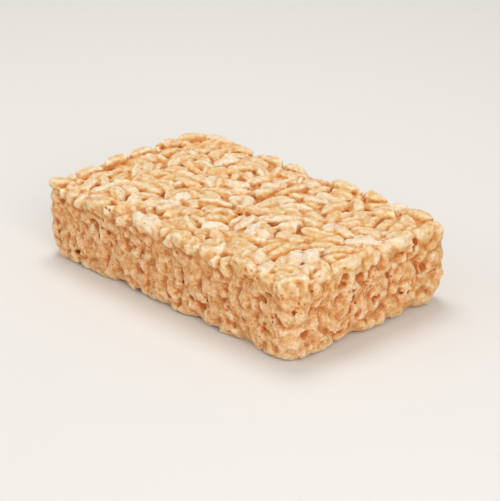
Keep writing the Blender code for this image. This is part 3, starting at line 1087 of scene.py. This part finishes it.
def varied(tree, colour, tone, whole):
    """Differences from grain to grain and from place to place, painted shade in deep hollows and caves, and
    pores.
    """
    porous = tree.ranged(tree.noise(PORE_PATCH_SIZE), 0.53, 0.62)
    pores = tree.times(tree.ranged(tree.dots(PORE_SIZE), 0.34, 0.16), porous)
    fine_pores = tree.ranged(tree.dots(FINE_PORE_SIZE), 0.28, 0.14, 0.0, 0.7)
    fine_pores = tree.times(fine_pores, tree.ranged(tree.noise(FINE_PORE_PATCH_SIZE), 0.48, 0.56))
    shares = (
        (tree.ranged(tone, 0.0, 0.5, 0.55, 0.0), GOLDEN_GRAIN),
        (tree.ranged(tree.noise(PATCH_SIZE, 3.0, 0.6), 0.40, 0.70, 0.0, 0.4), TOASTED_PATCH),
        (tree.ranged(tree.noise(MOTTLE_SIZE, 3.0, 0.7), 0.42, 0.7, 0.0, 0.5), MOTTLE),
        # Painted shade in deep hollows and in caves
        (tree.ranged(tree.attribute("broad"), 0.56, 0.9), DEEP_HOLLOW_SHADE),
        (tree.ranged(tree.attribute("cave_shade"), 0.25, 0.9, 0.0, 0.9), CAVE_SHADE),
        (tree.ranged(tree.noise(HONEY_SIZE, 2.0, 0.4), 0.58, 0.72, 0.0, 0.6), HONEY_SPOT),
        (tree.times(fine_pores, tree.ranged(whole, 0.2, 0.9, 1.0, 0.15)), FINE_PORE),
        (tree.times(porous, 0.5), POROUS_PATCH),
        (tree.times(pores, tree.ranged(whole, 0.0, 1.0, 0.95, 0.65)), PORE),
    )
    for share, tint in shares:
        colour = tree.mixed("MULTIPLY", share, colour, tint)
    return colour


def bumps(tree, granules, whole):
    """Wrinkles on the skin, and granules of the crumb, too small for the mesh."""
    wrinkles = tree.times(tree.noise(WRINKLE_SIZE, 3.0, 0.65), tree.ranged(whole, 0.0, 1.0, 1.6, 2.4))
    wrinkles = tree.plus(wrinkles, tree.times(tree.noise(SWELLING_SIZE, 2.0, 0.6), 3.0))
    domes = tree.times(granules, tree.ranged(whole, 0.0, 1.0, -1.3, 0.0))
    bump = tree.nodes.new("ShaderNodeBump")
    bump.inputs["Strength"].default_value = BUMP_STRENGTH
    bump.inputs["Distance"].default_value = BUMP_HEIGHT * MM
    tree.links.new(tree.plus(wrinkles, domes), bump.inputs["Height"])
    return bump.outputs["Normal"]


def food_material():
    material = bpy.data.materials.new("puffed_rice")
    tree = Shading(material)
    shader = tree.nodes["Principled BSDF"]
    fine = tree.attribute("fine")
    tone = tree.attribute("tone")
    granules = tree.dots(GRANULE_SIZE)
    uneven_edge = tree.ranged(tree.noise(EDGE_NOISE_SIZE, 3.0, 0.6), 0.3, 0.7, -0.3, 0.3)
    whole = tree.ranged(tree.plus(tree.attribute("whole"), uneven_edge), 0.1, 0.75)
    colour = tree.mixed("MIX", whole, crumb_colour(tree, fine, granules), skin_colour(tree, fine, tone))
    tree.links.new(varied(tree, colour, tone, whole), shader.inputs["Base Color"])
    roughness = tree.ranged(whole, 0.0, 1.0, CRUMB_ROUGHNESS, SKIN_ROUGHNESS)
    tree.links.new(roughness, shader.inputs["Roughness"])
    tree.links.new(bumps(tree, granules, whole), shader.inputs["Normal"])
    for key, value in SUBSURFACE.items():
        shader.inputs["Subsurface " + key].default_value = value
    return material


def faced_outward(points, quads, normals):
    """The quads in the order that makes them face the way of the field's own normals."""
    first = points[quads[:, 1]] - points[quads[:, 0]]
    second = points[quads[:, 2]] - points[quads[:, 0]]
    agreement = np.einsum("ij,ij->i", np.cross(first, second), normals[quads[:, 0]]).sum()
    return quads[:, ::-1] if agreement < 0 else quads


def make_bar():
    field, tones = build_field()
    points, quads = main_shell(*surface_of(field))
    values, normals = vertex_values(field, tones, points)
    quads = faced_outward(points, quads, normals)
    share = whole_pieces(points, quads, piece_of(points[quads].mean(axis=1)))
    material = food_material()
    pieces = []
    for number, name in enumerate(PIECES):
        pieces.append(make_piece(name, points, quads[share == number], normals, values, material))
    for piece in pieces:
        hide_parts("rice_bar")


# Where the photograph was taken from: angles in degrees, distance in metres, focal length in image pixels
CAMERA_AZIMUTH = 47.0
CAMERA_ELEVATION = 24.35
CAMERA_DISTANCE = 0.45
FOCAL_PIXELS = 1776.0
ORIGIN_PIXEL = (241.5, 275.8)
IMAGE_MIDDLE = (250.0, 250.5)
IMAGE_SIDE = 501.0
SENSOR = 36.0


# The lights: place in metres, width, power in watts and colour
LIGHTS = {
    "key": ((-0.14, 0.1, 0.55), 0.3, 1.4, (1.0, 0.98, 0.95)),
    "fill": ((0.5, -0.24, 0.28), 0.4, 1.81, (1.0, 0.98, 0.96)),
    "front": ((-0.3, -0.5, 0.3), 0.4, 0.56, (1.0, 0.98, 0.96)),
}

# The room, with the floor a little below the bar so that the two surfaces don't coincide
SKY_COLOUR = (1.0, 0.98, 0.95, 1.0)
SKY_STRENGTH = 0.5
FLOOR_COLOUR = (0.78, 0.77, 0.75, 1.0)
FLOOR_ROUGHNESS = 0.8
FLOOR_HALF = 1.5
FLOOR_DROP = 0.0001


def make_camera():
    azimuth, elevation = math.radians(CAMERA_AZIMUTH), math.radians(CAMERA_ELEVATION)
    level = math.cos(elevation)
    back = Vector((math.sin(azimuth) * level, -math.cos(azimuth) * level, math.sin(elevation)))
    right = Vector((math.cos(azimuth), math.sin(azimuth), 0.0))
    up = back.cross(right)
    aim = (
        -back
        + right * (IMAGE_MIDDLE[0] - ORIGIN_PIXEL[0]) / FOCAL_PIXELS
        + up * (ORIGIN_PIXEL[1] - IMAGE_MIDDLE[1]) / FOCAL_PIXELS
    )
    data = bpy.data.cameras.new("camera")
    data.sensor_width = SENSOR
    data.lens = FOCAL_PIXELS * SENSOR / IMAGE_SIDE
    camera = bpy.data.objects.new("camera", data)
    camera.location = back * CAMERA_DISTANCE
    camera.rotation_euler = aim.to_track_quat("-Z", "Y").to_euler()
    bpy.context.scene.collection.objects.link(camera)
    bpy.context.scene.camera = camera


def make_light(name, place, size, power, colour):
    data = bpy.data.lights.new(name, "AREA")
    data.shape = "DISK"
    data.size = size
    data.energy = power
    data.color = colour
    light = bpy.data.objects.new(name, data)
    light.location = place
    light.rotation_euler = (-Vector(place)).to_track_quat("-Z", "Y").to_euler()
    bpy.context.scene.collection.objects.link(light)


def make_studio():
    mesh = bpy.data.meshes.new("floor")
    corners = [(FLOOR_HALF * x, FLOOR_HALF * y, 0) for x, y in ((-1, -1), (1, -1), (1, 1), (-1, 1))]
    mesh.from_pydata(corners, [], [(0, 1, 2, 3)])
    floor = bpy.data.objects.new("floor", mesh)
    floor.location.z = -FLOOR_DROP
    material = bpy.data.materials.new("floor")
    material.use_nodes = True
    shader = material.node_tree.nodes["Principled BSDF"]
    shader.inputs["Base Color"].default_value = FLOOR_COLOUR
    shader.inputs["Roughness"].default_value = FLOOR_ROUGHNESS
    mesh.materials.append(material)
    bpy.context.scene.collection.objects.link(floor)
    world = bpy.data.worlds.new("studio")
    world.use_nodes = True
    background = world.node_tree.nodes["Background"]
    background.inputs["Color"].default_value = SKY_COLOUR
    background.inputs["Strength"].default_value = SKY_STRENGTH
    bpy.context.scene.world = world
    for name, light in LIGHTS.items():
        make_light(name, *light)
    bpy.context.scene.view_settings.view_transform = "Standard"


make_camera()
make_studio()
make_bar()
